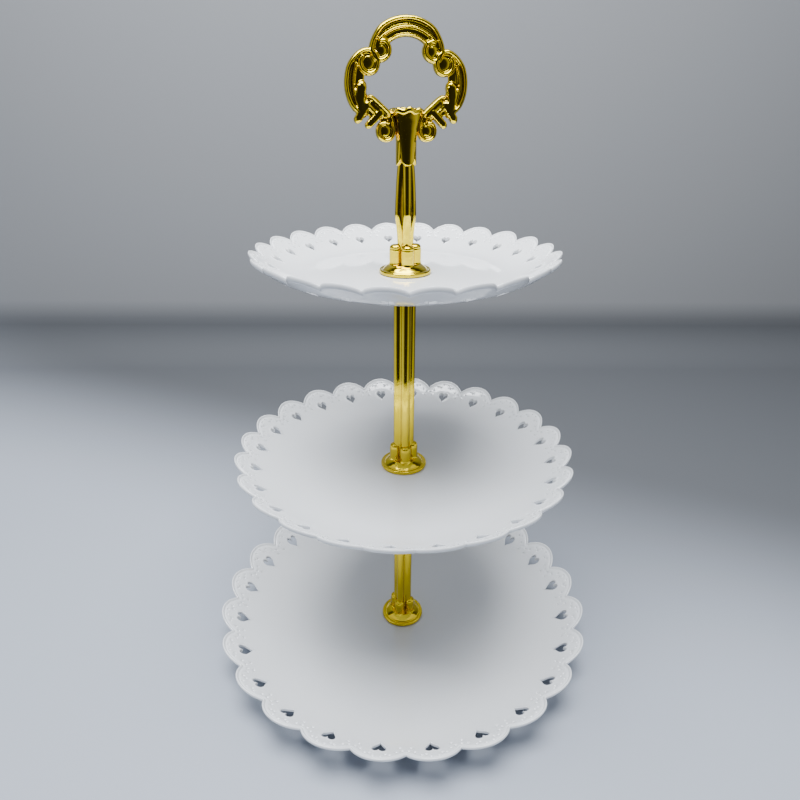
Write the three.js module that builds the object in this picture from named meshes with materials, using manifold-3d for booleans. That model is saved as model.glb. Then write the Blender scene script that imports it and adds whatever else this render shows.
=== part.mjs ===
// Three-tier cake stand: scalloped plates on a clustered column, with a scroll-ring handle.
// Millimetres, +Z up. The origin is the centre of the foot ring, on the surface it stands on.
import * as THREE from 'three';
import { mergeVertices } from 'three/addons/utils/BufferGeometryUtils.js';
import Module from 'manifold-3d';

const wasm = await Module();
wasm.setup();

// ---- driving dimensions ----

const GAP = 0.3;                     // clearance between faces that touch
const PLATE_THICKNESS = 2.4;
const SCALLOPS = 24;
const NOTCH = 0.945;                 // notch radius over tip radius
const FLAT = 0.62;                   // radius of the level floor over tip radius
const RIM_OVERRUN = 1.5;             // the turned rim runs past the scallops, which trim it
const RIM_SLOPE = THREE.MathUtils.degToRad(36);
const BORE_RADIUS = 4;               // hole in each plate's middle
const FOOT_RING = { inset: 1.5, width: 3, taper: 0.4 };
const STAND_HEIGHT = 8;              // foot ring under the bottom plate

// floor is the height of the plate's level inside, ring the depth of its foot ring, hearts the
// radius of the pierced hearts over the tip radius, and turn the angle of one heart from +X.
const TIERS = {
  bottom: {
    radius: 150, rise: 23.7, floor: STAND_HEIGHT + PLATE_THICKNESS,
    ring: STAND_HEIGHT, hearts: 0.889, turn: 7.83,
  },
  middle: { radius: 124, rise: 18.1, floor: 160.7, ring: 3, hearts: 0.877, turn: 10.15 },
  top: { radius: 100, rise: 16.3, floor: 307.5, ring: 3, hearts: 0.855, turn: 7.96 },
};
const HEART = { width: 0.064, length: 0.069 };   // over the tip radius

const THREAD_RADIUS = 3;             // M6 studs and base screw
const THREAD_HOLE = THREAD_RADIUS + GAP;
const INSERT_RADIUS = 4;
const INSERT_LENGTH = 12;
const STUD_GRIP = 14;                // length of a stud fixed inside its column
const THREAD_REACH = 10;             // length of a stud inside the insert below
const THREAD_CHAMFER = 0.6;

const WASHER_THICKNESS = 0.8;
const WASHER_RADIUS = 11;
const WASHER_SEAT = GAP + WASHER_THICKNESS + GAP;
const WASHER_CLEARANCE = 0.4;        // round the stud, and inside the collar above it

const FLANGE = { radius: 17.15, edge: 2.1, recess: WASHER_RADIUS + GAP, web: 6.4 };
const FLANGE_CONE = [[16.2, 2.9], [14, 3.4], [9.8, 6.1]];
const BUTTRESS = { root: 5.2, radius: 4.1, place: 6.4, height: 18.9, dome: 2.2 };

const LOBE = { radius: 3.1, place: 4.5 };
const CORE_RADIUS = 5;
const CAP = { radius: 9.2, height: 4, flare: 1.3 };
const COLUMN_TURN = { middle: 10, lower: -24 };

const HANDLE_TURN = 12;
const STEM_LOBE_RADIUS = 2.6;
const STEM_CORE = { radius: 3.6, low: 4.4, lowEnd: 20 };
// Height above the top plate's floor, and half width over two opposite lobes.
const STEM_CURVE = [[25, 5.5], [37.4, 6.9], [45.5, 6.65], [55, 6.2], [65.9, 5.35], [72, 5.9], [82, 6.2]];
const STEM_LOW_HALF = 5.2;
const CROWN = { base: 74, neck: 4.6, waist: 85, waistRadius: 6.3, lip: 94.5, radius: 10, peak: 98.4 };

// The ring's right half in its own plane: [distance from the axis, height above the top plate's floor].
const RING_DEPTH = 7;
const RING_BARS = [
  { points: [[19.2, 126.5], [17.3, 132.6], [10.6, 137.9], [0, 139.4]], width: 9.6 },
  { points: [[24.5, 123.8], [29.6, 121], [32, 112], [31.1, 103.5], [27.2, 97.5]], width: 9.2 },
  { points: [[26.2, 111], [25.4, 104], [24.4, 97.5]], width: 6 },
  { points: [[20.8, 102], [15.6, 97.6], [9.5, 91.6], [6.5, 86]], width: 6 },
  { points: [[24, 98.5], [27.5, 93.6], [29.6, 90.8]], width: 5 },
  { points: [[17.5, 96.5], [21, 91.5], [23.4, 88]], width: 5 },
  { points: [[26, 98], [20, 96], [14, 95]], width: 5 },
];
const RING_VOLUTES = [
  { centre: [15, 127.2], radius: 5.8 },
  { centre: [22.6, 120.8], radius: 6.3 },
  { centre: [12.7, 85.2], radius: 5.9 },
];

const BASE_WASHER = { radius: 10, thickness: 1 };
const BASE_HEAD = { radius: 8, thickness: 3.2, rounding: 0.8 };
const BASE_SLOT = { length: 12, width: 1.6, depth: 1.2 };

// ---- materials ----

const gold = new THREE.MeshStandardMaterial({ color: 0xc9a24a, roughness: 0.18, metalness: 1 });
const glossWhite = new THREE.MeshStandardMaterial({ color: 0xf1f2f4, roughness: 0.12, metalness: 0 });
const silicone = new THREE.MeshStandardMaterial({ color: 0xdfe3e6, roughness: 0.45, metalness: 0 });
const steel = new THREE.MeshStandardMaterial({ color: 0xb4b6b8, roughness: 0.35, metalness: 1 });
const brass = new THREE.MeshStandardMaterial({ color: 0xb38b45, roughness: 0.35, metalness: 1 });

// ---- solids ----

function solid(geometry) {
  const bare = geometry.clone();
  for (const name of ['normal', 'uv']) bare.deleteAttribute(name);
  const merged = mergeVertices(bare, 1e-4);
  const points = merged.attributes.position.array;
  const triangles = Uint32Array.from(merged.index.array);
  if (signedVolume(points, triangles) < 0) {
    for (let i = 0; i < triangles.length; i += 3) {
      [triangles[i], triangles[i + 1]] = [triangles[i + 1], triangles[i]];
    }
  }
  return new wasm.Manifold(new wasm.Mesh({
    numProp: 3,
    vertProperties: Float32Array.from(points),
    triVerts: dropFlat(triangles),
  }));
}

function signedVolume(points, triangles) {
  const [a, b, c] = [new THREE.Vector3(), new THREE.Vector3(), new THREE.Vector3()];
  let sum = 0;
  for (let i = 0; i < triangles.length; i += 3) {
    a.fromArray(points, 3 * triangles[i]);
    b.fromArray(points, 3 * triangles[i + 1]);
    c.fromArray(points, 3 * triangles[i + 2]);
    sum += a.dot(b.cross(c));
  }
  return sum / 6;
}

// Triangles that merging has flattened to a line, as at a lathe's axis.
function dropFlat(triangles) {
  const kept = [];
  for (let i = 0; i < triangles.length; i += 3) {
    const [p, q, r] = triangles.subarray(i, i + 3);
    if (p !== q && q !== r && r !== p) kept.push(p, q, r);
  }
  return Uint32Array.from(kept);
}

function join(solids) {
  return solids.reduce((whole, next) => whole.add(next));
}

function named(name, body, material) {
  const { vertProperties, triVerts } = body.getMesh();
  const geometry = new THREE.BufferGeometry();
  geometry.setAttribute('position', new THREE.BufferAttribute(Float32Array.from(vertProperties), 3));
  geometry.setIndex(new THREE.BufferAttribute(Uint32Array.from(triVerts), 1));
  geometry.computeVertexNormals();
  const mesh = new THREE.Mesh(geometry, material);
  mesh.name = name;
  return mesh;
}

// A closed profile of [radius, height] turned about +Z.
function turned(profile, segments) {
  const points = [...profile, profile[0]].map(([r, z]) => new THREE.Vector2(r, z));
  return solid(new THREE.LatheGeometry(points, segments).rotateX(Math.PI / 2));
}

function disc(radius, low, high, segments = 20) {
  return turned([[0, low], [radius, low], [radius, high], [0, high]], segments);
}

function sleeve(inner, outer, low, high, segments = 20) {
  return turned([[inner, low], [outer, low], [outer, high], [inner, high]], segments);
}

function prism(shape, low, high, curveSegments) {
  const settings = { depth: high - low, bevelEnabled: false, curveSegments };
  return solid(new THREE.ExtrudeGeometry(shape, settings).translate(0, 0, low));
}

// Four copies round the axis, the first at the front and turned towards +X by the given angle.
function fourAround(body, place, turn) {
  const copies = [0, 1, 2, 3].map((i) => {
    const angle = -Math.PI / 2 + THREE.MathUtils.degToRad(turn + 90 * i);
    return body.translate([place * Math.cos(angle), place * Math.sin(angle), 0]);
  });
  return join(copies);
}

// ---- plates ----

function scallopedOutline(radius) {
  const step = 2 * Math.PI / SCALLOPS;
  const notch = NOTCH * radius;
  const cosine = Math.cos(step / 2);
  const arc = (radius ** 2 + notch ** 2 - 2 * radius * notch * cosine) / (2 * (radius - notch * cosine));
  const centre = radius - arc;
  const half = Math.atan2(notch * Math.sin(step / 2), notch * cosine - centre);
  const outline = new THREE.Shape();
  for (let i = 0; i < SCALLOPS; i += 1) {
    const angle = i * step;
    outline.absarc(centre * Math.cos(angle), centre * Math.sin(angle), arc, angle - half, angle + half);
  }
  return outline;
}

// A heart whose tip points to the plate's centre, which lies along -X.
function heartOutline(width, length) {
  const half = width / 2;
  const outline = new THREE.Shape();
  outline.moveTo(-length / 2, 0);
  outline.bezierCurveTo(-0.2 * length, 0.5 * half, 0.05 * length, half, 0.24 * length, half);
  outline.bezierCurveTo(0.56 * length, half, 0.6 * length, 0.25 * half, 0.3 * length, 0);
  outline.bezierCurveTo(0.6 * length, -0.25 * half, 0.56 * length, -half, 0.24 * length, -half);
  outline.bezierCurveTo(0.05 * length, -half, -0.2 * length, -0.5 * half, -length / 2, 0);
  return outline;
}

// Level floor, an arc that turns up from it, and a straight rim, with a foot ring underneath.
function dishProfile({ radius, rise, ring }) {
  const flat = FLAT * radius;
  const slope = Math.tan(RIM_SLOPE);
  const tangent = radius - rise / slope - flat;
  const bend = tangent / Math.tan(RIM_SLOPE / 2);
  const under = PLATE_THICKNESS;
  const steps = [0, 1, 2].map((i) => i * RIM_SLOPE / 2);
  const top = steps.map((a) => [flat + bend * Math.sin(a), bend - bend * Math.cos(a)]);
  const below = steps.map((a) => [flat + (bend + under) * Math.sin(a), bend - (bend + under) * Math.cos(a)]);
  const edge = [radius + RIM_OVERRUN, rise + RIM_OVERRUN * slope];
  const lowEdge = [edge[0] + under * Math.sin(RIM_SLOPE), edge[1] - under * Math.cos(RIM_SLOPE)];
  const { inset, width, taper } = FOOT_RING;
  const [outer, inner, low] = [flat - inset, flat - inset - width, -under - ring];
  return [
    [BORE_RADIUS, 0], ...top, edge, lowEdge, ...below.reverse(),
    [outer, -under], [outer - taper, low], [inner + taper, low], [inner, -under],
    [BORE_RADIUS, -under],
  ];
}

function plate(tier) {
  const { radius, rise, floor, hearts, turn } = TIERS[tier];
  const dish = turned(dishProfile(TIERS[tier]), 2 * SCALLOPS);
  const outline = prism(scallopedOutline(radius), -20, rise + 10, 2);
  const heart = prism(heartOutline(HEART.width * radius, HEART.length * radius), 0, rise + 10, 2);
  const first = heart.translate([hearts * radius, 0, 0]);
  const pierced = Array.from({ length: SCALLOPS }, (_, i) => first.rotate([0, 0, i * 360 / SCALLOPS]));
  const scalloped = dish.rotate([0, 0, 180 / SCALLOPS]).intersect(outline);
  const body = scalloped.subtract(join(pierced)).rotate([0, 0, turn]).translate([0, 0, floor]);
  return named(`plate_${tier}`, body, glossWhite);
}

// ---- columns ----

// Four round lobes about a core, the first lobe turned from the front by the given angle.
function cluster(low, high, turn, grow = 0) {
  const lobe = disc(LOBE.radius + grow, low, high, 12);
  return fourAround(lobe, LOBE.place, turn).add(disc(CORE_RADIUS + grow, low, high, 24));
}

// Round flange with four domed buttresses that wrap the foot of a column.
function foot(name, floor, turn, columnSpace) {
  const { radius, edge, recess, web } = FLANGE;
  const flange = turned([
    [THREAD_HOLE, WASHER_SEAT], [recess, WASHER_SEAT], [recess, GAP], [radius, GAP], [radius, edge],
    ...FLANGE_CONE, [THREAD_HOLE, web],
  ], 28);
  const { root, height, dome } = BUTTRESS;
  const post = turned([
    [0, root], [BUTTRESS.radius, root], [BUTTRESS.radius, height - dome],
    [0.75 * BUTTRESS.radius, height - 0.3 * dome], [0, height],
  ], 10);
  const bore = disc(THREAD_HOLE, 0, web + 1);
  const posts = fourAround(post, BUTTRESS.place, turn).subtract(columnSpace).subtract(bore);
  const whole = flange.add(posts);
  return named(name, whole.translate([0, 0, floor]), gold);
}

function columnFoot(name, tier, turn) {
  const space = cluster(FLANGE.web, BUTTRESS.height + 1, turn, GAP);
  return foot(name, TIERS[tier].floor, turn, space);
}

// Top of the collar that carries the plate above.
function seatUnder(tier) {
  return TIERS[tier].floor - PLATE_THICKNESS - WASHER_SEAT;
}

function columnEnds(tier, above) {
  const low = TIERS[tier].floor + FLANGE.web + GAP;
  const high = seatUnder(above) - CAP.height - GAP;
  return { low, high };
}

function column(name, tier, above, turn, lowBore, lowDepth) {
  const { low, high } = columnEnds(tier, above);
  const shaft = cluster(low, high, turn);
  const topBore = disc(INSERT_RADIUS + GAP, high - INSERT_LENGTH - GAP, high + 1, 16);
  const bottomBore = disc(lowBore, low - 1, low + lowDepth + GAP, 16);
  return named(name, shaft.subtract(topBore).subtract(bottomBore), gold);
}

// Collar with a flared lower edge, between a column's top and the plate above.
function cap(name, above) {
  const high = seatUnder(above);
  const low = high - CAP.height;
  const body = turned([
    [THREAD_HOLE, low], [CAP.radius - CAP.flare, low], [CAP.radius, low + CAP.flare],
    [CAP.radius, high], [THREAD_HOLE, high],
  ], 24);
  return named(name, body, gold);
}

function topInsert(name, tier, above) {
  const { high } = columnEnds(tier, above);
  return named(name, sleeve(THREAD_HOLE, INSERT_RADIUS, high - INSERT_LENGTH, high, 16), brass);
}

// Stud fixed in the piece above a plate, which screws into the insert below the plate.
function stud(name, tier) {
  const high = TIERS[tier].floor + FLANGE.web + STUD_GRIP;
  const low = seatUnder(tier) - CAP.height - GAP - THREAD_REACH;
  const body = turned([
    [0, low], [THREAD_RADIUS - THREAD_CHAMFER, low], [THREAD_RADIUS, low + THREAD_CHAMFER],
    [THREAD_RADIUS, high], [0, high],
  ], 16);
  return named(name, body, steel);
}

// ---- washers and the base screw ----

function siliconeWashers(tier) {
  const above = TIERS[tier].floor + GAP;
  const below = TIERS[tier].floor - PLATE_THICKNESS - GAP - WASHER_THICKNESS;
  const ring = (name, low, outer) => named(
    name, sleeve(THREAD_HOLE + WASHER_CLEARANCE, outer, low, low + WASHER_THICKNESS), silicone);
  return [
    ring(`${tier}_upper_washer`, above, WASHER_RADIUS),
    ring(`${tier}_lower_washer`, below, CAP.radius - WASHER_CLEARANCE),
  ];
}

function baseFastening() {
  const underWasher = TIERS.bottom.floor - PLATE_THICKNESS - WASHER_SEAT;
  const washerLow = underWasher - BASE_WASHER.thickness;
  const headHigh = washerLow - GAP;
  const headLow = headHigh - BASE_HEAD.thickness;
  const tip = TIERS.bottom.floor + FLANGE.web + GAP + THREAD_REACH;
  const washer = sleeve(THREAD_HOLE, BASE_WASHER.radius, washerLow, underWasher, 24);
  const { rounding } = BASE_HEAD;
  const screw = turned([
    [0, headLow], [BASE_HEAD.radius - rounding, headLow], [BASE_HEAD.radius, headLow + rounding],
    [BASE_HEAD.radius, headHigh], [THREAD_RADIUS, headHigh], [THREAD_RADIUS, tip - THREAD_CHAMFER],
    [THREAD_RADIUS - THREAD_CHAMFER, tip], [0, tip],
  ], 24);
  const slot = prism(rectangle(BASE_SLOT.length, BASE_SLOT.width), headLow - 1, headLow + BASE_SLOT.depth, 1);
  return [named('base_washer', washer, steel), named('base_screw', screw.subtract(slot), steel)];
}

function rectangle(length, width) {
  const outline = new THREE.Shape();
  outline.moveTo(-length / 2, -width / 2);
  outline.lineTo(length / 2, -width / 2);
  outline.lineTo(length / 2, width / 2);
  outline.lineTo(-length / 2, width / 2);
  return outline;
}

function baseInsert() {
  const { low } = columnEnds('bottom', 'middle');
  const body = sleeve(THREAD_HOLE, INSERT_RADIUS, low, low + INSERT_LENGTH, 16);
  return named('lower_column_base_insert', body, brass);
}

// ---- handle ----

function sweep(section, path, steps) {
  const settings = { steps, extrudePath: path, curveSegments: 4, bevelEnabled: false };
  return solid(new THREE.ExtrudeGeometry(section, settings));
}

// An elliptical bar along points of [x, height] in the ring's plane, with a section of width by depth.
function bar(points, width, depth) {
  const path = new THREE.CatmullRomCurve3(points.map(([x, z]) => new THREE.Vector3(x, 0, z)));
  const section = new THREE.Shape();
  section.absellipse(0, 0, depth / 2, width / 2, 0, 2 * Math.PI);
  return sweep(section, path, 2 * points.length);
}

// A disc that lies in the ring's plane, with its face to the front and back.
function volute([x, z], radius) {
  return disc(radius, -RING_DEPTH / 2, RING_DEPTH / 2, 12).rotate([90, 0, 0]).translate([x, 0, z]);
}

function ring() {
  const bars = RING_BARS.map(({ points, width }) => bar(points, width, RING_DEPTH));
  const volutes = RING_VOLUTES.map(({ centre, radius }) => volute(centre, radius));
  const half = join([...bars, ...volutes]);
  return half.add(half.mirror([1, 0, 0])).rotate([0, 0, HANDLE_TURN]);
}

function stemLobe(angle, low, grow) {
  const curve = [[low, STEM_LOW_HALF], [(low + STEM_CURVE[0][0]) / 2, STEM_LOW_HALF], ...STEM_CURVE];
  const points = curve.map(([z, half]) => {
    const place = half - STEM_LOBE_RADIUS;
    return new THREE.Vector3(place * Math.cos(angle), place * Math.sin(angle), z);
  });
  const section = new THREE.Shape();
  section.absarc(0, 0, STEM_LOBE_RADIUS + grow, 0, 2 * Math.PI);
  const path = new THREE.CatmullRomCurve3(points);
  return sweep(section, path, 8);
}

function stemCluster(low, grow) {
  const lobes = [0, 1, 2, 3].map((i) => stemLobe(THREE.MathUtils.degToRad(HANDLE_TURN + 90 * i), low, grow));
  const core = disc(STEM_CORE.radius + grow, low, CROWN.waist, 16);
  const lowCore = disc(STEM_CORE.low + grow, low, STEM_CORE.lowEnd, 16);
  return join([...lobes, core, lowCore]);
}

function handle() {
  const low = FLANGE.web + GAP;
  const { base, neck, waist, waistRadius, lip, radius, peak } = CROWN;
  const crown = turned([
    [0, base], [neck, base], [waistRadius, waist], [radius, lip], [radius, lip + 1.4], [0, peak],
  ], 20);
  const bore = disc(THREAD_HOLE, low - 1, low + STUD_GRIP, 16);
  const body = join([stemCluster(low, 0), crown, ring()]).subtract(bore);
  return named('handle', body.translate([0, 0, TIERS.top.floor]), gold);
}

// ---- the whole stand ----

const group = new THREE.Group();
group.add(
  plate('bottom'), plate('middle'), plate('top'),
  column('lower_column', 'bottom', 'middle', COLUMN_TURN.lower, INSERT_RADIUS + GAP, INSERT_LENGTH),
  columnFoot('lower_column_foot', 'bottom', COLUMN_TURN.lower),
  cap('lower_column_cap', 'middle'),
  topInsert('lower_column_insert', 'bottom', 'middle'),
  baseInsert(),
  ...baseFastening(),
  column('middle_column', 'middle', 'top', COLUMN_TURN.middle, THREAD_HOLE, STUD_GRIP),
  columnFoot('middle_column_foot', 'middle', COLUMN_TURN.middle),
  cap('middle_column_cap', 'top'),
  topInsert('middle_column_insert', 'middle', 'top'),
  stud('middle_column_stud', 'middle'),
  handle(),
  foot('handle_foot', TIERS.top.floor, HANDLE_TURN, stemCluster(FLANGE.web, GAP)),
  stud('handle_stud', 'top'),
  ...['bottom', 'middle', 'top'].flatMap(siliconeWashers),
);

export default group;
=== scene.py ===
"""Looks for the three-tier cake stand: fine scalloped plates, the gold castings and their materials.

Shapes are written in millimetres about the stand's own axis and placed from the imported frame.
"""
import math

import bmesh
import bpy
import numpy as np
from mathutils import Matrix, Vector
from mathutils.geometry import delaunay_2d_cdt


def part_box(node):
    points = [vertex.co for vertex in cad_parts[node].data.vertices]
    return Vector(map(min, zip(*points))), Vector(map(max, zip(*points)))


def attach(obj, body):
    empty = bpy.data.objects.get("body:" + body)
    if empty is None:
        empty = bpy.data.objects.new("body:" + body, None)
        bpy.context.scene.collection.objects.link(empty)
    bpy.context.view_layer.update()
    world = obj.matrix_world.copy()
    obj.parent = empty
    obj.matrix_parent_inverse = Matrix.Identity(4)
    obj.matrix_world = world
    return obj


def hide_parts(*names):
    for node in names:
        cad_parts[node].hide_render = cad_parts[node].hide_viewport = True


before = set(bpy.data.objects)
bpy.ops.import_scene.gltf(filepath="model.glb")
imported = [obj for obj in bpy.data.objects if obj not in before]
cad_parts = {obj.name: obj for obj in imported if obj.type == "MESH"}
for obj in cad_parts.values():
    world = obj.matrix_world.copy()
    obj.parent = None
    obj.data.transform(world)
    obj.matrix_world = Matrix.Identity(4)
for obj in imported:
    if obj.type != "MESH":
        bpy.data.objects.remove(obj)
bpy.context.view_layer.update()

MM = 0.001
GAP = 0.3                       # clearance under each foot and between touching pieces, mm

SCALLOPS = 24
STEP = 2 * math.pi / SCALLOPS
NOTCH = 0.945                   # notch radius over tip radius
FLAT = 0.62                     # radius of the level floor over tip radius
RIM_SLOPE = math.radians(36)
PLATE_THICKNESS = 2.2
REFERENCE_RADIUS = 150.0        # the plate whose lace the millimetre values below are for
BORE_RADIUS = 4.0
HUB_RADIUS = 12.0               # floor under the foot
FINE_FROM = 0.8                 # the lace band starts at this share of the tip radius
SECTOR_STEPS = 16               # grid lines across one scallop
HEARTS = {"bottom": 0.889, "middle": 0.877, "top": 0.855}       # radius over tip radius
HEART = {"width": 0.064, "length": 0.069}                       # over tip radius
FOOT_RINGS = {"bottom": 8.2, "middle": 3.0, "top": 3.0}         # depth under the plate
FOOT_RING = {"inset": 1.5, "width": 3.0, "fillet": 1.4, "taper": 0.4, "step": 0.5}
FOOT_ABOVE = {"bottom": "lower_column_foot", "middle": "middle_column_foot", "top": "handle_foot"}
ON_EDGE = 0.001                 # points this close to a scallop's edge are on it, mm
SLIVER_AREA = 1e-4              # triangles below this, in square mm, come from rounding
HEART_DRAFT = 1.12              # how much wider the pierced hearts are at the under face
# Dimples of half a scallop: angle from its centre line in degrees, and radius over tip radius.
DIMPLES = ((1.05, 0.970), (3.3, 0.952), (5.0, 0.924), (5.9, 0.887), (2.15, 0.947), (6.6, 0.912))
DIMPLE = {"radius": 1.05, "depth": 1.3, "clear": 1.35}
# Mesh rows of the lace: distances in from the scalloped edge, sizes of the heart's outline,
# and each dimple's rings as radius and number of points.
LIP_ROWS = (0.0, 0.1, 0.3, 0.6, 1.0, 1.3, 1.65, 2.0, 2.4, 2.85, 3.3)
HEART_LEVELS = (1.0, 1.05, 1.12, 1.2, 1.32, 1.46)
DIMPLE_RINGS = ((0.001, 1), (0.3, 6), (0.6, 8), (0.85, 10), (1.05, 10))
LACE_SPACING = 2.2
UNDER_ROWS = (0.0, 0.12, 0.4, 0.9, 2.2)
UNDER_SPACING = 3.6
EDGE_POINTS = 14                # segments along half a scallop's edge

POST_PLACE = 6.4
FOOT_BORE = 3.4
# Outlines of the castings as [radius, height] over the plate's floor.
FLANGE_OUTLINE = (
    (FOOT_BORE, 1.4), (11.3, 1.4), (11.3, GAP), (16.5, GAP), (17.15, 0.8), (17.15, 2.1), (16.6, 2.9),
    (15.7, 3.0), (15.1, 2.6), (14.6, 2.7), (14.0, 3.5), (12.0, 5.0), (9.8, 6.2), (FOOT_BORE, 6.6),
)
POST_OUTLINE = (
    (0.01, 4.5), (4.8, 5.2), (4.4, 6.3), (4.15, 7.0), (4.1, 8.0), (4.1, 15.4), (3.85, 16.1), (4.0, 16.7),
    (3.5, 17.9), (2.0, 18.7), (0.01, 18.9),
)
LOBE = {"radius": 3.1, "place": 4.5}
CORE_RADIUS = 5.0
COLUMN_TURN = {"middle": 10.0, "lower": -24.0}
HANDLE_TURN = 12.0


# ---- mesh helpers ----

def add_mesh(name, vertices, faces, smooth_angle=40.0):
    """A mesh object from millimetre vertices and index faces, smooth but for its sharp edges."""
    mesh = bpy.data.meshes.new(name)
    mesh.from_pydata([tuple(v) for v in np.asarray(vertices, float) * MM], [], faces)
    obj = bpy.data.objects.new(name, mesh)
    bpy.context.scene.collection.objects.link(obj)
    tidy(obj)
    shade(obj, smooth_angle)
    return obj


def tidy(obj):
    """Merges doubled vertices and turns every face outwards."""
    work = bmesh.new()
    work.from_mesh(obj.data)
    bmesh.ops.remove_doubles(work, verts=work.verts, dist=2e-6)
    bmesh.ops.dissolve_degenerate(work, edges=work.edges, dist=1e-6)
    bmesh.ops.recalc_face_normals(work, faces=work.faces)
    work.to_mesh(obj.data)
    work.free()


def shade(obj, angle):
    """Smooth shading, with edges sharper than angle degrees left crisp."""
    mesh = obj.data
    mesh.shade_smooth()
    mesh.set_sharp_from_angle(angle=math.radians(angle))


def grid_faces(rows, columns, closed_rows=False):
    """Quads between rows of a grid whose columns go round."""
    faces = []
    for i in range(rows if closed_rows else rows - 1):
        low, high = i * columns, ((i + 1) % rows) * columns
        faces += [(low + j, low + (j + 1) % columns, high + (j + 1) % columns, high + j)
                  for j in range(columns)]
    return faces


def lathe(profile, segments):
    """Vertices and faces of a [radius, height] profile turned about Z."""
    angles = np.arange(segments) * 2 * math.pi / segments
    ring = np.stack([np.cos(angles), np.sin(angles)], axis=1)
    vertices = [np.column_stack([ring * radius, np.full(segments, height)]) for radius, height in profile]
    return np.vstack(vertices), grid_faces(len(profile), segments)


def placed(part, x=0.0, y=0.0, z=0.0, turn=0.0):
    """A (vertices, faces) part turned about Z by degrees and moved."""
    vertices, faces = part
    a = math.radians(turn)
    matrix = np.array([[math.cos(a), math.sin(a), 0], [-math.sin(a), math.cos(a), 0], [0, 0, 1]])
    return vertices @ matrix + np.array([x, y, z]), faces


def merged(parts):
    """Several (vertices, faces) parts as one."""
    vertices, faces, base = [], [], 0
    for points, quads in parts:
        vertices.append(points)
        faces += [tuple(i + base for i in face) for face in quads]
        base += len(points)
    return np.vstack(vertices), faces


def rounded(profile, radius):
    """The profile with each inner corner replaced by a small curve of about that radius."""
    points = [np.array(p, float) for p in profile]
    out = [points[0]]
    for before, here, after in zip(points, points[1:], points[2:]):
        length_in, length_out = np.linalg.norm(before - here), np.linalg.norm(after - here)
        start = here + (before - here) / max(length_in, 1e-9) * min(radius, 0.45 * length_in)
        end = here + (after - here) / max(length_out, 1e-9) * min(radius, 0.45 * length_out)
        for t in np.linspace(0, 1, 4):
            out.append((1 - t) ** 2 * start + 2 * t * (1 - t) * here + t ** 2 * end)
    out.append(points[-1])
    return out


def smooth_path(points, samples):
    """Points evenly spaced along a Catmull-Rom curve through the given ones."""
    p = np.array(points, float)
    p = np.vstack([2 * p[0] - p[1], p, 2 * p[-1] - p[-2]])
    curve = []
    for a, b, c, d in zip(p, p[1:], p[2:], p[3:]):
        for t in np.linspace(0, 1, 24, endpoint=False):
            curve.append(0.5 * (2 * b + (c - a) * t + (2 * a - 5 * b + 4 * c - d) * t * t
                                + (3 * b - a - 3 * c + d) * t ** 3))
    curve.append(p[-2])
    curve = np.array(curve)
    length = np.concatenate([[0], np.cumsum(np.linalg.norm(np.diff(curve, axis=0), axis=1))])
    at = np.linspace(0, length[-1], samples)
    return np.stack([np.interp(at, length, curve[:, i]) for i in range(p.shape[1])], axis=1)


# ---- materials ----

NOISE_LOW, NOISE_HIGH = 0.3, 0.7        # a noise texture's value is mostly between these


class Nodes:
    """Short ways to add and link the nodes of one material."""

    def __init__(self, name):
        self.material = bpy.data.materials.new(name)
        self.material.use_nodes = True
        self.tree = self.material.node_tree
        self.shader = self.tree.nodes["Principled BSDF"]

    def add(self, kind, **values):
        """A new node, with its sockets or properties set by name."""
        node = self.tree.nodes.new(kind)
        for key, value in values.items():
            if key in node.inputs:
                node.inputs[key].default_value = value
            else:
                setattr(node, key, value)
        return node

    def link(self, source, output, target, socket):
        self.tree.links.new(source.outputs[output], target.inputs[socket])

    def noise(self, scale, detail=2.0):
        """Noise that stays with the object; scale is about the number of waves in a metre."""
        place = self.add("ShaderNodeTexCoord")
        noise = self.add("ShaderNodeTexNoise", Scale=scale, Detail=detail)
        self.link(place, "Object", noise, "Vector")
        return noise

    def spread(self, source, low, high):
        """A noise value spread over low to high."""
        scale = self.add("ShaderNodeMapRange")
        scale.inputs["From Min"].default_value = NOISE_LOW
        scale.inputs["From Max"].default_value = NOISE_HIGH
        scale.inputs["To Min"].default_value = low
        scale.inputs["To Max"].default_value = high
        self.link(source, 0, scale, "Value")
        return scale

    def bump(self, source, strength, distance):
        bump = self.add("ShaderNodeBump", Strength=strength, Distance=distance)
        self.link(source, 0, bump, "Height")
        self.link(bump, "Normal", self.shader, "Normal")

    def between(self, source, low, high):
        """A colour that goes from low to high with a noise value."""
        colours = self.add("ShaderNodeValToRGB")
        stops = zip(colours.color_ramp.elements, (NOISE_LOW, NOISE_HIGH), (low, high))
        for element, position, colour in stops:
            element.position = position
            element.color = (*colour, 1)
        self.link(source, 0, colours, "Fac")
        return colours

    def tint(self, source, low, high):
        self.link(self.between(source, low, high), "Color", self.shader, "Base Color")

    def along(self, axis, start, end, skew=0.0):
        """0 at start and 1 at end along one of the object's own axes, plus skew times its X."""
        place = self.add("ShaderNodeTexCoord")
        split = self.add("ShaderNodeSeparateXYZ")
        self.link(place, "Object", split, "Vector")
        sideways = self.add("ShaderNodeMath", operation="MULTIPLY_ADD")
        self.link(split, "X", sideways, 0)
        sideways.inputs[1].default_value = skew
        self.link(split, axis, sideways, 2)
        scale = self.add("ShaderNodeMapRange")
        scale.interpolation_type = "SMOOTHSTEP"
        scale.inputs["From Min"].default_value = start
        scale.inputs["From Max"].default_value = end
        self.link(sideways, 0, scale, "Value")
        return scale

    def shader_values(self, **values):
        for key, value in values.items():
            self.shader.inputs[key.replace("_", " ")].default_value = value


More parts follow.
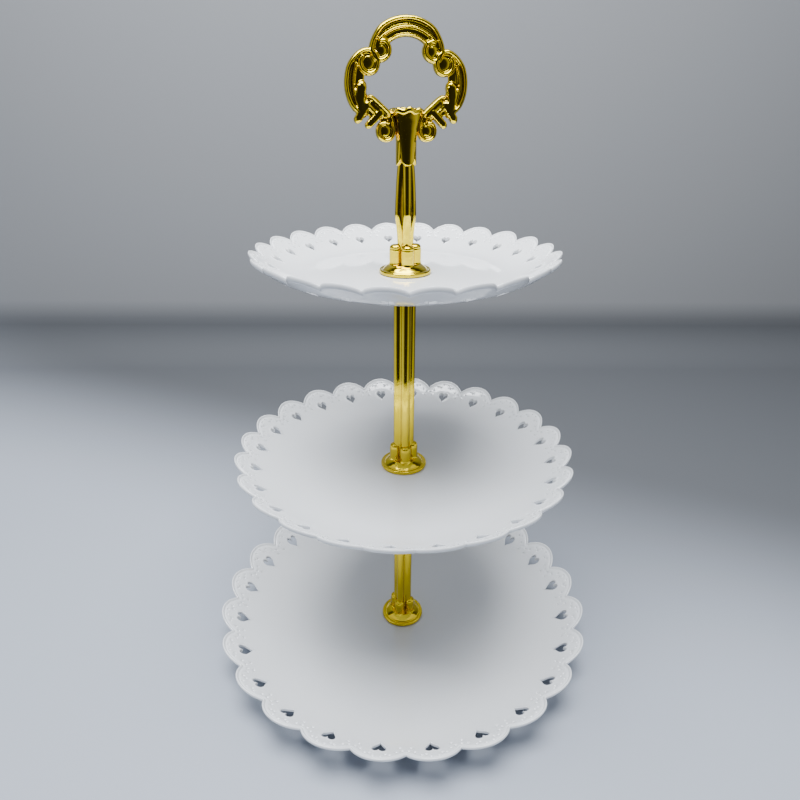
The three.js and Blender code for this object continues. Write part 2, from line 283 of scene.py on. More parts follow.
def gold_material():
    """Polished gold plating, with the faint waviness of a casting under it."""
    m = Nodes("gold_plating")
    m.shader_values(Metallic=1.0)
    m.tint(m.noise(60.0), (0.62, 0.46, 0.012), (0.69, 0.52, 0.025))
    m.link(m.spread(m.noise(220.0, 4.0), 0.055, 0.13), "Result", m.shader, "Roughness")
    m.bump(m.noise(420.0, 3.0), 0.10, 0.00025)
    return m.material


def white_material():
    """Glossy moulded plastic, cool white, with a very faint flow pattern."""
    m = Nodes("gloss_white")
    m.shader_values(IOR=1.5, Coat_Weight=0.5, Coat_Roughness=0.02)
    m.tint(m.noise(14.0), (0.80, 0.815, 0.835), (0.84, 0.85, 0.865))
    m.link(m.spread(m.noise(30.0, 3.0), 0.07, 0.13), "Result", m.shader, "Roughness")
    m.bump(m.noise(90.0, 2.0), 0.05, 0.0002)
    return m.material


def silicone_material():
    """Soft, slightly cloudy clear rubber of the washers."""
    m = Nodes("clear_silicone")
    m.shader_values(IOR=1.41, Transmission_Weight=0.6)
    m.tint(m.noise(200.0), (0.80, 0.83, 0.85), (0.88, 0.90, 0.91))
    m.link(m.spread(m.noise(500.0), 0.32, 0.5), "Result", m.shader, "Roughness")
    m.bump(m.noise(900.0), 0.2, 0.0001)
    return m.material


def steel_material():
    """Bright zinc plating of the studs, screw and base washer."""
    m = Nodes("zinc_steel")
    m.shader_values(Metallic=1.0)
    m.tint(m.noise(300.0), (0.56, 0.57, 0.59), (0.68, 0.69, 0.70))
    m.link(m.spread(m.noise(900.0, 5.0), 0.22, 0.42), "Result", m.shader, "Roughness")
    m.bump(m.noise(1500.0, 4.0), 0.15, 0.0001)
    return m.material


def brass_material():
    """Turned brass of the threaded inserts."""
    m = Nodes("insert_brass")
    m.shader_values(Metallic=1.0)
    m.tint(m.noise(260.0), (0.52, 0.34, 0.10), (0.62, 0.43, 0.15))
    m.link(m.spread(m.noise(800.0, 4.0), 0.28, 0.45), "Result", m.shader, "Roughness")
    m.bump(m.noise(1200.0, 4.0), 0.15, 0.0001)
    return m.material


GOLD = gold_material()
WHITE = white_material()
SLOT_MATERIALS = {
    "gold_plating": GOLD, "gloss_white": WHITE, "clear_silicone": silicone_material(),
    "zinc_steel": steel_material(), "insert_brass": brass_material(),
}


def finish_piece(obj, body, material, slot, *nodes):
    """Gives a piece its material and body, and hides the CAD nodes that it stands for; the slot argument is
    not used.
    """
    obj.data.materials.clear()
    obj.data.materials.append(material)
    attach(obj, body)
    if nodes:
        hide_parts(*nodes)


# ---- plates ----

class Plate:
    """One scalloped plate, measured from its CAD node."""

    def __init__(self, tier):
        self.tier = tier
        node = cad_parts[f"plate_{tier}"]
        points = np.array([v.co for v in node.data.vertices]) / MM
        radii = np.hypot(points[:, 0], points[:, 1])
        tip = points[np.argmax(radii)]
        self.radius = float(radii.max())
        self.turn = math.atan2(tip[1], tip[0])
        self.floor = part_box(FOOT_ABOVE[tier])[0][2] / MM - GAP
        self.rise = float(points[:, 2].max()) - self.floor
        self.scale = self.radius / REFERENCE_RADIUS
        self.flat = FLAT * self.radius
        tangent = self.radius - self.rise / math.tan(RIM_SLOPE) - self.flat
        self.bend = tangent / math.tan(RIM_SLOPE / 2)
        notch = NOTCH * self.radius
        cosine = math.cos(STEP / 2)
        self.arc = (self.radius ** 2 + notch ** 2 - 2 * self.radius * notch * cosine) / (
            2 * (self.radius - notch * cosine))
        self.centre = self.radius - self.arc
        self.notch = np.array([notch * cosine, notch * math.sin(STEP / 2)])
        self.half = math.atan2(self.notch[1], self.notch[0] - self.centre)

    def surface(self, r):
        """Height of the inner face over the floor at radius r, and its slope."""
        end = self.flat + self.bend * math.sin(RIM_SLOPE)
        inside = np.clip(r - self.flat, 0, end - self.flat)
        depth = np.sqrt(self.bend ** 2 - inside ** 2)
        beyond = np.clip(r - end, 0, None)
        height = self.bend - depth + beyond * math.tan(RIM_SLOPE)
        slope = np.where(r > end, math.tan(RIM_SLOPE), inside / depth)
        return height, slope

    def inset(self, points):
        """Distance of each point of the first scallop's sector from its edge."""
        local = points - np.array([self.centre, 0])
        direct = self.arc - np.hypot(local[:, 0], local[:, 1])
        mirrored = np.column_stack([points[:, 0], np.abs(points[:, 1])])
        corner = np.hypot(*(mirrored - self.notch).T)
        beside = np.abs(np.arctan2(local[:, 1], local[:, 0])) > self.half
        distance = np.where(beside, corner, direct)
        return np.where(distance < ON_EDGE, 0, distance)

    def inset_row(self, distance, count):
        """The first scallop's edge moved inwards by distance, from one notch line to the other."""
        angles = np.linspace(0, self.half, count + 1)
        reach = self.arc - distance
        row = np.column_stack([self.centre + reach * np.cos(angles), reach * np.sin(angles)])
        if distance > 0:
            steps = max(1, round(distance * 0.8 / 1.2))
            turn = np.linspace(self.half + math.pi, STEP / 2 + math.pi, steps + 1)[1:]
            corner = self.notch + distance * np.column_stack([np.cos(turn), np.sin(turn)])
            row = np.vstack([row, corner])
        mirrored = row[:0:-1] * np.array([1, -1])
        return np.vstack([mirrored, row])

    def heart(self, grow=1.0, count=28):
        """Outline of the pierced heart, its tip towards the plate's centre.

        The usual heart curve is 32 units wide and 29 long.
        """
        t = np.arange(count) * 2 * math.pi / count
        across = 16 * np.sin(t) ** 3
        along = 13 * np.cos(t) - 5 * np.cos(2 * t) - 2 * np.cos(3 * t) - np.cos(4 * t) + 2
        width, length = HEART["width"] * self.radius, HEART["length"] * self.radius
        x = HEARTS[self.tier] * self.radius + along * length / 29 * grow
        return np.column_stack([x, across * width / 32 * grow])

    def heart_level(self, points):
        """How many times its size the heart would have to be to reach each point."""
        centre = np.array([HEARTS[self.tier] * self.radius, 0])
        outline = self.heart(count=180) - centre
        angles = np.arctan2(outline[:, 1], outline[:, 0])
        order = np.argsort(angles)
        reach = np.hypot(*outline.T)[order]
        local = points - centre
        at = np.arctan2(local[:, 1], local[:, 0])
        return np.hypot(*local.T) / np.interp(at, angles[order], reach, period=2 * math.pi)

    def dimples(self):
        """Centres of the first scallop's dimples."""
        places = [(sign * math.radians(angle), share * self.radius) for angle, share in DIMPLES
                  for sign in (-1, 1)]
        return np.array([[r * math.cos(a), r * math.sin(a)] for a, r in places])


def ramp(value, start, end):
    """0 before start, 1 after end, smooth between."""
    t = np.clip((value - start) / (end - start), 0, 1)
    return t * t * (3 - 2 * t)


def quarter_round(distance, radius):
    """0 at distance 0, rising as a quarter circle to 1 at radius."""
    return np.sqrt(np.clip(1 - (1 - np.clip(distance / radius, 0, 1)) ** 2, 0, 1))


def lace_relief(plate, points):
    """Height of the lip bead, heart borders and dimples over the plain inner face."""
    crest, groove, lip_radius = 0.6, 0.5, 1.0
    border, softened = 0.4, 0.2
    k = plate.scale
    d = plate.inset(points) / k
    thickness = PLATE_THICKNESS * np.sqrt(1 + plate.surface(np.hypot(*points.T))[1] ** 2)
    bead = -0.5 * thickness + (0.5 * thickness + crest) * quarter_round(d, lip_radius)
    inner = crest - (crest + groove) * ramp(d, 1.2, 2.1) + groove * ramp(d, 2.2, 3.3)
    relief = np.where(d < lip_radius, bead, inner)
    level = plate.heart_level(points)
    relief += border * ramp(level, 1.0, 1.1) * (1 - ramp(level, 1.16, 1.4))
    relief -= softened * (1 - ramp(level, 0.98, 1.07))
    radius = DIMPLE["radius"] * k
    for centre in plate.dimples():
        q = np.hypot(*(points - centre).T) / radius
        relief -= DIMPLE["depth"] * (1 - ramp(q, 0.4, 1.0))
    return relief


def inside_polygon(points, polygon):
    """Even-odd test of each point."""
    x, y = points[:, 0], points[:, 1]
    inside = np.zeros(len(points), bool)
    for (x0, y0), (x1, y1) in zip(polygon, np.roll(polygon, -1, axis=0)):
        crosses = (y0 > y) != (y1 > y)
        with np.errstate(divide="ignore", invalid="ignore"):
            inside ^= crosses & (x < (x1 - x0) * (y - y0) / (y1 - y0) + x0)
    return inside


def sector(plate, rows, heart_levels, spacing, dimple_rings):
    """Points and triangles of one scallop's lace band, as flat millimetre coordinates."""
    k = plate.scale
    spacing *= k
    inner_radius = FINE_FROM * plate.radius
    angles = np.linspace(-STEP / 2, STEP / 2, SECTOR_STEPS + 1)
    inner = inner_radius * np.column_stack([np.cos(angles), np.sin(angles)])
    edge_rows = [plate.inset_row(d * k, EDGE_POINTS) for d in rows]
    reach = rows[-1] * k
    notch_radius = NOTCH * plate.radius
    side_radii = np.arange(inner_radius + spacing, notch_radius - reach - 0.3 * spacing, spacing)
    row_ends = [notch_radius - d * k for d in reversed(rows)]
    line = np.array([*side_radii, *row_ends])
    corner = np.array([math.cos(STEP / 2), math.sin(STEP / 2)])
    upper = line[:, None] * corner
    lower = upper * np.array([1, -1])
    grid = np.array([(r * math.cos(a), r * math.sin(a))
                     for r in np.arange(inner_radius + spacing, plate.radius, spacing)
                     for a in angles[1:-1]])
    keep = plate.inset(grid) > reach + 0.4 * spacing
    keep &= plate.heart_level(grid) > heart_levels[-1] + 0.12
    dimples = plate.dimples() if dimple_rings else ()
    for centre in dimples:
        keep &= np.hypot(*(grid - centre).T) > DIMPLE["clear"] * k
    grid = grid[keep]
    hearts = [plate.heart(level) for level in heart_levels]
    dots = []
    for centre in dimples:
        for radius, sides in dimple_rings:
            t = np.arange(sides) * 2 * math.pi / sides
            dots.append(centre + radius * k * np.column_stack([np.cos(t), np.sin(t)]))

    points, edges = [], []

    def loop(new):
        start = len(points)
        points.extend(map(tuple, new))
        edges.extend((start + i, start + (i + 1) % len(new)) for i in range(len(new)))

    boundary = np.vstack([edge_rows[0], upper[:-1][::-1], inner[::-1], lower[:-1]])
    loop(boundary)
    loop(hearts[0])
    for new in [row[1:-1] for row in edge_rows[1:]] + hearts[1:] + [grid] + dots:
        points.extend(map(tuple, new))
    result = delaunay_2d_cdt([Vector(p) for p in points], edges, [], 0, 1e-5)
    flat = np.array([tuple(v) for v in result[0]])
    triangles = np.array([face for face in result[2] if len(face) == 3])
    middles = flat[triangles].mean(axis=1)
    keep = inside_polygon(middles, boundary) & ~inside_polygon(middles, hearts[0])
    one, two = (flat[triangles[:, i]] - flat[triangles[:, 0]] for i in (1, 2))
    keep &= np.abs(one[:, 0] * two[:, 1] - one[:, 1] * two[:, 0]) > 2 * SLIVER_AREA
    return flat, triangles[keep], hearts[0]


def spun(plate, flat, heights):
    """The sector's points repeated for every scallop."""
    copies = []
    for i in range(SCALLOPS):
        a = plate.turn + i * STEP
        turned = flat @ np.array([[math.cos(a), math.sin(a)], [-math.sin(a), math.cos(a)]])
        copies.append(np.column_stack([turned, heights]))
    return np.vstack(copies)


def repeated(triangles, size, flip=False):
    """The sector's triangles repeated for every scallop; size is its number of points."""
    order = triangles[:, ::-1] if flip else triangles
    return [tuple(face) for i in range(SCALLOPS) for face in (order + i * size).tolist()]


def lace_band(plate):
    """Upper face, under face and heart walls of the whole lace band."""
    flat, triangles, heart = sector(plate, LIP_ROWS, HEART_LEVELS, LACE_SPACING, DIMPLE_RINGS)
    top = plate.surface(np.hypot(*flat.T))[0] + lace_relief(plate, flat)
    upper = spun(plate, flat, top), repeated(triangles, len(flat))

    low_flat, triangles, low_heart = sector(plate, UNDER_ROWS, (HEART_DRAFT, 1.3), UNDER_SPACING, ())
    lower = spun(plate, low_flat, under_height(plate, low_flat)), repeated(triangles, len(low_flat), True)

    heart_top = plate.surface(np.hypot(*heart.T))[0] + lace_relief(plate, heart)
    heart_low = under_height(plate, low_heart)
    wall = spun(plate, np.vstack([heart, low_heart]), np.concatenate([heart_top, heart_low]))
    n = len(heart)
    faces = [(base + j, base + (j + 1) % n, base + n + (j + 1) % n, base + n + j)
             for base in range(0, 2 * n * SCALLOPS, 2 * n) for j in range(n)]
    return [upper, lower, (wall, faces)]


def under_height(plate, points):
    """Height of the under face, rounded up to the lip's middle at the edge."""
    height, slope = plate.surface(np.hypot(*points.T))
    thickness = PLATE_THICKNESS * np.sqrt(1 + slope ** 2)
    drop = quarter_round(plate.inset(points) / plate.scale, 0.9)
    return height - 0.5 * thickness - 0.5 * thickness * drop


def dish_centre(plate):
    """Inner and under faces from the bore to the lace band, with the foot ring."""
    edge = FINE_FROM * plate.radius
    bends = np.linspace(plate.flat, edge, 10)
    bevel = 0.5
    top = [(BORE_RADIUS, -bevel), (BORE_RADIUS + bevel, 0), (HUB_RADIUS, 0)]
    top += [(0.4 * plate.flat, 0), (0.75 * plate.flat, 0)]
    top += [(r, float(plate.surface(np.array([r]))[0][0])) for r in bends]
    t = PLATE_THICKNESS
    ring = FOOT_RINGS[plate.tier]
    fillet, taper, step = FOOT_RING["fillet"], FOOT_RING["taper"], FOOT_RING["step"]
    outer = plate.flat - FOOT_RING["inset"]
    inner = outer - FOOT_RING["width"]
    low = [(r, under_of(plate, r)) for r in bends[::-1]]
    foot = rounded([
        (outer + fillet, -t), (outer, -t - step), (outer - taper, -t - ring), (inner + taper, -t - ring),
        (inner, -t - step), (inner - fillet, -t)], 0.5)
    low += [tuple(p) for p in foot] + [(0.4 * plate.flat, -t), (HUB_RADIUS, -t), (BORE_RADIUS, -t)]
    profile = top[::-1] + [(BORE_RADIUS, -t)] + low[::-1][1:]
    vertices, faces = lathe(profile, SCALLOPS * SECTOR_STEPS)
    start = plate.turn - STEP / 2
    c, s = math.cos(start), math.sin(start)
    vertices[:, :2] = vertices[:, :2] @ np.array([[c, s], [-s, c]])
    return vertices, faces


def under_of(plate, r):
    """Height of the under face at one radius inside the lace band."""
    height, slope = plate.surface(np.array([r]))
    return float(height[0] - PLATE_THICKNESS * math.sqrt(1 + slope[0] ** 2))


def build_plate(tier, body):
    """One plate, in place of its CAD node."""
    plate = Plate(tier)
    vertices, faces = merged([dish_centre(plate), *lace_band(plate)])
    vertices[:, 2] += plate.floor
    obj = add_mesh(f"scalloped_plate_{tier}", vertices, faces, 50)
    finish_piece(obj, body, WHITE, "gloss_white", f"plate_{tier}")


# ---- feet and columns ----

def around(count, place, turn):
    """Places round the axis, the first at the front and turned towards +X by degrees."""
    for i in range(count):
        angle = -math.pi / 2 + math.radians(turn + i * 360 / count)
        yield place * math.cos(angle), place * math.sin(angle)


def foot_part(turn):
    """Coned round flange with four posts, each with a shouldered, domed top."""
    post = rounded(POST_OUTLINE, 0.7)
    posts = [placed(lathe(post, 40), x, y) for x, y in around(4, POST_PLACE, turn)]
    return merged([closed_lathe(rounded(FLANGE_OUTLINE, 0.35), 128), *posts])


def closed_lathe(profile, segments):
    """A lathe whose profile is a loop that stays clear of the axis."""
    return lathe([*profile, profile[0]], segments)


def cluster_radius(angles, lobe_radius, place, core, soften=0.35):
    """Radius of four round lobes about a core, with a small fillet where they meet."""
    folded = (angles + math.pi / 4) % (math.pi / 2) - math.pi / 4
    root = np.clip(lobe_radius ** 2 - (place * np.sin(folded)) ** 2, 0, None)
    lobe = np.where(root > 0, place * np.cos(folded) + np.sqrt(root), 0)
    core = np.full_like(lobe, core)
    blend = np.clip(0.5 + 0.5 * (lobe - core) / soften, 0, 1)
    return core + (lobe - core) * blend + soften * 0.5 * blend * (1 - blend)


def tube_of_sections(sections, heights, segments):
    """A closed tube whose radius at each height and angle comes from sections."""
    angles = np.arange(segments) * 2 * math.pi / segments
    rows = []
    for radius, z in zip(sections, heights):
        r = np.broadcast_to(radius, angles.shape)
        rows.append(np.column_stack([r * np.cos(angles), r * np.sin(angles), np.full(segments, z)]))
    vertices = np.vstack(rows)
    faces = grid_faces(len(rows), segments)
    faces.append(tuple(range(segments))[::-1])
    faces.append(tuple(len(vertices) - segments + i for i in range(segments)))
    return vertices, faces


def column_part(low, high, turn):
    """Column of four lobes, with its ends eased."""
    segments, ease = 160, 0.25
    angles = np.arange(segments) * 2 * math.pi / segments
    offset = math.radians(turn) - math.pi / 2
    full = cluster_radius(angles - offset, LOBE["radius"], LOBE["place"], CORE_RADIUS)
    heights = [low, low + ease, *np.linspace(low + 1, high - 1, 12), high - ease, high]
    sections = [full - ease, *[full] * (len(heights) - 2), full - ease]
    return tube_of_sections(sections, heights, segments)


def cap_part(low, high):
    """Collar with a flared top edge under the plate."""
    profile = rounded([
        (0.01, low), (7.6, low), (8.1, low + 0.5), (8.25, low + 1.4), (8.7, low + 2.0), (9.2, low + 2.5),
        (9.2, high - 0.3), (8.9, high), (0.01, high)], 0.3)
    return lathe(profile, 96)


def height_range(node):
    """Lowest and highest point of a CAD node, in millimetres."""
    low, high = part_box(node)
    return low[2] / MM, high[2] / MM


def build_foot(node, body, turn):
    """The casting at the bottom of a column or of the handle, in place of its CAD node."""
    floor = height_range(node)[0] - GAP
    foot = add_mesh(f"{node}_casting", *placed(foot_part(turn), z=floor), 35)
    finish_piece(foot, body, GOLD, "gold_plating", node)


def build_column(name, turn):
    """A column with its foot and cap, which all ride on the column's own body."""
    column = add_mesh(f"{name}_cluster", *column_part(*height_range(name), turn), 60)
    finish_piece(column, name, GOLD, "gold_plating", name)
    build_foot(f"{name}_foot", name, turn)
    cap = f"{name}_cap"
    collar = add_mesh(f"{cap}_collar", *cap_part(*height_range(cap)), 35)
    finish_piece(collar, name, GOLD, "gold_plating", cap)


# ---- handle ----

RING_WEB_DEPTH = 1.5
DISC_DEPTH = 1.1
DISC_END = 1.2                  # how far a disc's bar stops short of the disc's edge
RING_VOXEL = 0.34
BAR_SPACING = 0.5
# Ridges of the ring's right half: [distance from the axis, height above the top plate's floor],
# then half width and half depth. One that starts on the axis goes over to the other side.
RING_RIDGES = (
    # the arch's outer bead, which curls round the upper volute
    (((0, 143.2), (8, 142.0), (15.1, 138.3), (19.4, 132.1), (20.6, 127.2), (18.6, 122.9), (14.4, 122.4),
      (10.9, 125.0), (10.6, 128.8), (13.2, 131.6), (16.2, 131.4)), 1.55, 3.5),
    # its middle and inner ridges
    (((0, 139.0), (7, 137.9), (13.3, 134.8), (16.6, 131.9)), 1.15, 3.2),
    (((0, 134.8), (6, 133.8), (10.6, 131.4), (13.2, 130.9)), 0.95, 3.2),
    # the side scroll's outer bead, over its volute and round it
    (((28.6, 95.4), (32.6, 99.6), (35.0, 106.5), (35.0, 113.5), (33.1, 119.8), (28.6, 124.8), (23.6, 127.0),
      (19.0, 125.4), (17.1, 121.0), (18.7, 116.8), (22.8, 115.5), (26.3, 117.6), (27.4, 121.4),
      (25.6, 124.2)), 1.55, 3.5),
    (((29.6, 120.4), (31.2, 114.5), (31.4, 107.6), (29.8, 100.8), (26.8, 95.6)), 1.05, 3.2),
    # the frond, which runs into the lower volute's bead
    (((22.8, 103.6), (20.2, 103.0), (14.2, 98.2), (9.8, 94.0), (7.9, 89.4), (7.8, 84.6), (10.0, 81.0),
      (13.6, 80.5), (16.7, 82.5), (17.4, 86.2), (15.7, 89.2), (12.6, 89.8)), 1.35, 3.5),
    (((19.6, 99.4), (14.6, 95.2), (12.0, 92.2), (11.2, 89.6)), 0.7, 3.0),
)
# Flatter metal between the ridges, with its half width.
RING_WEBS = (
    (((0, 139.4), (9, 137.9), (15.6, 133.2), (17.2, 128)), 4.2),
    (((25.0, 124.2), (30.2, 119.6), (33.0, 112), (32.2, 104), (28.6, 97.2)), 3.4),
    (((27.4, 117), (27.6, 111), (28.4, 104), (27.6, 98)), 2.6),
    (((26.4, 108), (25.4, 103), (24.2, 97.2)), 2.2),
    (((20.8, 101.4), (15.2, 96.6), (10.6, 91.6), (8.8, 87)), 1.7),
    (((26.4, 96.6), (29.6, 91.2)), 1.7),
    (((17.4, 95.2), (21.0, 91.6), (23.6, 88.0)), 1.7),
    (((26.8, 97.2), (23.0, 96.0), (17.6, 94.0), (13.4, 93.4)), 2.4),
)
# Flat-faced leaves with rounded tips, and the pointed body of the frond.
RING_LEAVES = (
    (((27.4, 103.0), (27.2, 106.0), (26.6, 109.2)), 3.1, 3.3),
    (((26.2, 94.6), (27.2, 99.0), (27.5, 104.0)), 2.6, 3.3),
    (((23.6, 99.6), (26.6, 95.6), (29.3, 91.6)), 2.4, 3.2),
    (((15.6, 95.6), (19.4, 91.9), (23.0, 88.6)), 2.2, 3.2),
    (((20.9, 100.6), (16.0, 96.6), (12.6, 93.3)), 1.9, 2.7),
    (((22.6, 98.4), (19.4, 95.4)), 1.0, 3.0),
)
# Volutes: centre, radius of the ball in the middle and of the disc behind it.
RING_VOLUTES = (((14.8, 127.0), 3.8, 4.6), ((22.3, 121.0), 4.5, 5.3), ((12.7, 85.2), 4.1, 5.0))
RING_BALL_DEPTH = 2.2

# Height above the top plate's floor and half width over two opposite lobes.
STEM_CURVE = ((4.3, 5.2), (18.1, 5.2), (24.9, 5.5), (37.4, 6.9), (45.5, 6.65), (55.0, 6.2), (61.3, 5.8),
              (65.9, 5.35), (72.0, 5.6), (84.0, 5.6), (96.0, 5.6))
STEM_LOBE = 2.6
STEM_CORE = 3.6
CALYX_CURVE = ((64.0, 5.9), (68.0, 6.05), (72.0, 6.15), (79.5, 6.5), (86.0, 7.3), (91.0, 8.3), (94.0, 9.1),
               (97.0, 9.9))
CALYX_LOW = 66.0
CROWN = {"height": 96.4, "radius": 8.9, "wide": 1.3, "tall": 1.65, "waves": 8}
CROWN_DISH = ((8.4, 94.4), (8.4, 95.9), (6.4, 95.3), (0.01, 95.0), (0.01, 94.4), (8.4, 94.4))


def bar(points, width, depth, square=1.0):
    """A bar along [x, height] points in the ring's plane: elliptical, or flatter faced as square falls."""
    sides = 12 if square == 1 else 20
    length = sum(math.dist(a, b) for a, b in zip(points, points[1:]))
    path = smooth_path(points, max(4, int(length / BAR_SPACING)))
    along = np.gradient(path, axis=0)
    along /= np.linalg.norm(along, axis=1)[:, None]
    t = np.arange(sides) * 2 * math.pi / sides
    rows = []
    for (x, z), (dx, dz) in zip(path, along):
        across = np.sign(np.cos(t)) * np.abs(np.cos(t)) ** square * width
        deep = np.sign(np.sin(t)) * np.abs(np.sin(t)) ** square * depth
        rows.append(np.column_stack([x - dz * across, deep, z + dx * across]))
    n = len(rows)
    faces = grid_faces(n, sides)
    faces += [tuple(range(sides))[::-1], tuple(range((n - 1) * sides, n * sides))]
    return np.vstack(rows), faces


def ball(x, z, radius, depth):
    """A flattened ball in the ring's plane, depth deep on either side."""
    segments, pole = 28, 0.02
    angles = np.linspace(pole, math.pi - pole, 14)
    turned = [(radius * math.sin(a), -depth * math.cos(a)) for a in angles]
    vertices, faces = lathe(turned, segments)
    faces += [tuple(range(segments))[::-1], tuple(range(len(vertices) - segments, len(vertices)))]
    vertices = vertices[:, [0, 2, 1]]
    return vertices + np.array([x, 0, z]), faces


def mirrored(part):
    """The part on the ring's other side."""
    vertices, faces = part
    return vertices * np.array([-1, 1, 1]), [face[::-1] for face in faces]


def over_the_top(points):
    """The points, and before them their mirror image where they start on the ring's centre line."""
    if points[0][0] != 0:
        return points
    return [(-x, z) for x, z in points[:0:-1]] + list(points)


def ring_object():
    """The scroll ring, its bars melted into one casting."""
    half = [bar(over_the_top(points), width, depth) for points, width, depth in RING_RIDGES]
    half += [bar(over_the_top(points), width, RING_WEB_DEPTH, 0.5) for points, width in RING_WEBS]
    for points, width, depth in RING_LEAVES:
        half.append(bar(points, width, depth, 0.45))
        half += [ball(*points[i], width, depth) for i in (0, -1)]
    for (x, z), radius, disc in RING_VOLUTES:
        half.append(ball(x, z, radius, RING_BALL_DEPTH))
        end = disc - DISC_END
        half.append(bar(((x, z - end), (x, z + end)), disc, DISC_DEPTH))
    vertices, faces = merged(half + [mirrored(part) for part in half])
    obj = add_mesh("handle_scroll_ring", *placed((vertices, faces), turn=HANDLE_TURN))
    melt(obj, RING_VOXEL, 3)
    return obj


def melt(obj, voxel, smoothing):
    """Joins overlapping shells into one skin and rounds it."""
    remesh = obj.modifiers.new("remesh", "REMESH")
    remesh.mode = "VOXEL"
    remesh.voxel_size = voxel * MM
    smooth = obj.modifiers.new("smooth", "SMOOTH")
    smooth.factor = 0.5
    smooth.iterations = smoothing
    graph = bpy.context.evaluated_depsgraph_get()
    mesh = bpy.data.meshes.new_from_object(obj.evaluated_get(graph))
    obj.modifiers.clear()
    obj.data = mesh
    shade(obj, 180)


def stem_part(low):
    """Four lobes, which swell and narrow, with a calyx of four petals that opens at the top."""
    segments = 240
    angles = np.arange(segments) * 2 * math.pi / segments
    offset = math.radians(HANDLE_TURN) - math.pi / 2
    heights = np.concatenate([np.linspace(low, 64, 60), np.linspace(64.4, 95.4, 100)])
    z_stem, half = np.array(STEM_CURVE).T
    z_calyx, wide = np.array(CALYX_CURVE).T
    folded = (angles - offset + math.pi / 4) % (math.pi / 2) - math.pi / 4
    rows = []
    for z in heights:
        width = np.interp(z, z_stem, half)
        r = cluster_radius(angles - offset, STEM_LOBE, width - STEM_LOBE, STEM_CORE, 0.3)
        petal = np.interp(z, z_calyx, wide)
        side = petal * math.pi / 4
        arc = np.abs(folded) * petal
        inset = np.where(z < CALYX_LOW + side, side - np.hypot(arc, z - CALYX_LOW - side), side - arc)
        edge = np.clip(inset / 0.7, 0, 1)
        hollow = np.interp(z, (70, 80, 92), (0.0, 0.5, 1.3)) * (1 - (arc / side) ** 2)
        parted = np.interp(z, (70, 74), (0.9, 0.0))
        raised = petal + 0.3 - hollow - parted * (1 - np.sqrt(1 - (1 - edge) ** 2))
        r = np.where(inset > 0, np.maximum(r, raised), r)
        rows.append(r)
    return tube_of_sections(rows, heights, segments)


def crown_part():
    """Wavy rolled lip round the calyx, with a shallow dish inside."""
    segments = 240
    angles = np.arange(segments) * 2 * math.pi / segments
    offset = math.radians(HANDLE_TURN) - math.pi / 2
    wave = np.cos(CROWN["waves"] * (angles - offset))
    droop = np.sin(angles - offset) ** 2
    rows = []
    for t in np.linspace(0, 2 * math.pi, 16, endpoint=False):
        r = CROWN["radius"] + CROWN["wide"] * np.cos(t) + 0.4 * wave
        z = CROWN["height"] + CROWN["tall"] * np.sin(t) + 0.55 * wave - 0.9 * droop
        rows.append(np.column_stack([r * np.cos(angles), r * np.sin(angles), z]))
    lip = np.vstack(rows), grid_faces(len(rows), segments, closed_rows=True)
    return merged([lip, lathe(rounded(CROWN_DISH, 0.8), 120)])


def build_handle():
    """The handle's ring and stem, in place of one CAD node, and its foot."""
    floor = height_range("handle_foot")[0] - GAP
    ring = ring_object()
    ring.location.z = floor * MM
    bpy.context.view_layer.update()
    ring.data.transform(ring.matrix_world)
    ring.matrix_world = Matrix.Identity(4)
    finish_piece(ring, "handle", GOLD, "gold_plating", "handle")
    stem_and_crown = merged([stem_part(height_range("handle")[0] - floor), crown_part()])
    stem = add_mesh("handle_stem_and_crown", *placed(stem_and_crown, z=floor), 45)
    finish_piece(stem, "handle", GOLD, "gold_plating", "handle")
    build_foot("handle_foot", "handle", HANDLE_TURN)


# ---- stage, light and camera ----

TABLE_COLOURS = ((0.34, 0.37, 0.43), (0.36, 0.39, 0.45))
# Wall colours with painted shade: darkest at the wall's foot and the back of the table, lighter upwards.
WALL_PAINTED_SHADE_COLOURS = ((0.085, 0.09, 0.10), (0.235, 0.24, 0.252))
TABLE_PAINTED_SHADE = {"start": 0.0, "end": 0.38, "skew": 0.45}       # where painted shade darkens the table towards the back, slanting with X, in metres
WALL_PAINTED_SHADE_TOP = 0.16           # height in metres up to which the wall's painted shade lightens
SWEEP = {"front": -0.4, "start": 0.58, "radius": 0.07, "back": -3.0, "top": 3.0, "half_width": 3.5}
OVERHEAD = {"place": (-0.1, -0.22, 1.35), "target": (-0.05, 0, 0), "size": (1.1, 0.8), "power": 54,
            "colour": (0.93, 0.965, 1.0)}
# down is in degrees, left and roll in radians.
CAMERA = {"place": (-0.0062, -0.3952, 0.4011), "down": 25.28, "left": -0.0082, "roll": 0.0048,
          "lens": 27.08, "sensor": 36}
ROOM_LIGHT = 0.14
ROOM_REFLECTED = 0.9
# Brightness of the room by direction: [how far the direction points along the axis, level].
ROOM_DEPTH = ((-1, 0.03), (-0.78, 0.05), (-0.52, 0.6), (0.05, 1.0), (1, 0.8))
ROOM_CEILING = ((-0.2, 0.0), (0.6, 0.0), (0.85, 1.0))
CEILING_COLOUR = (1.3, 1.32, 1.36, 1)
BEYOND_COLOUR = (2.0, 2.1, 2.3, 1)      # what shows past the sweep's edges


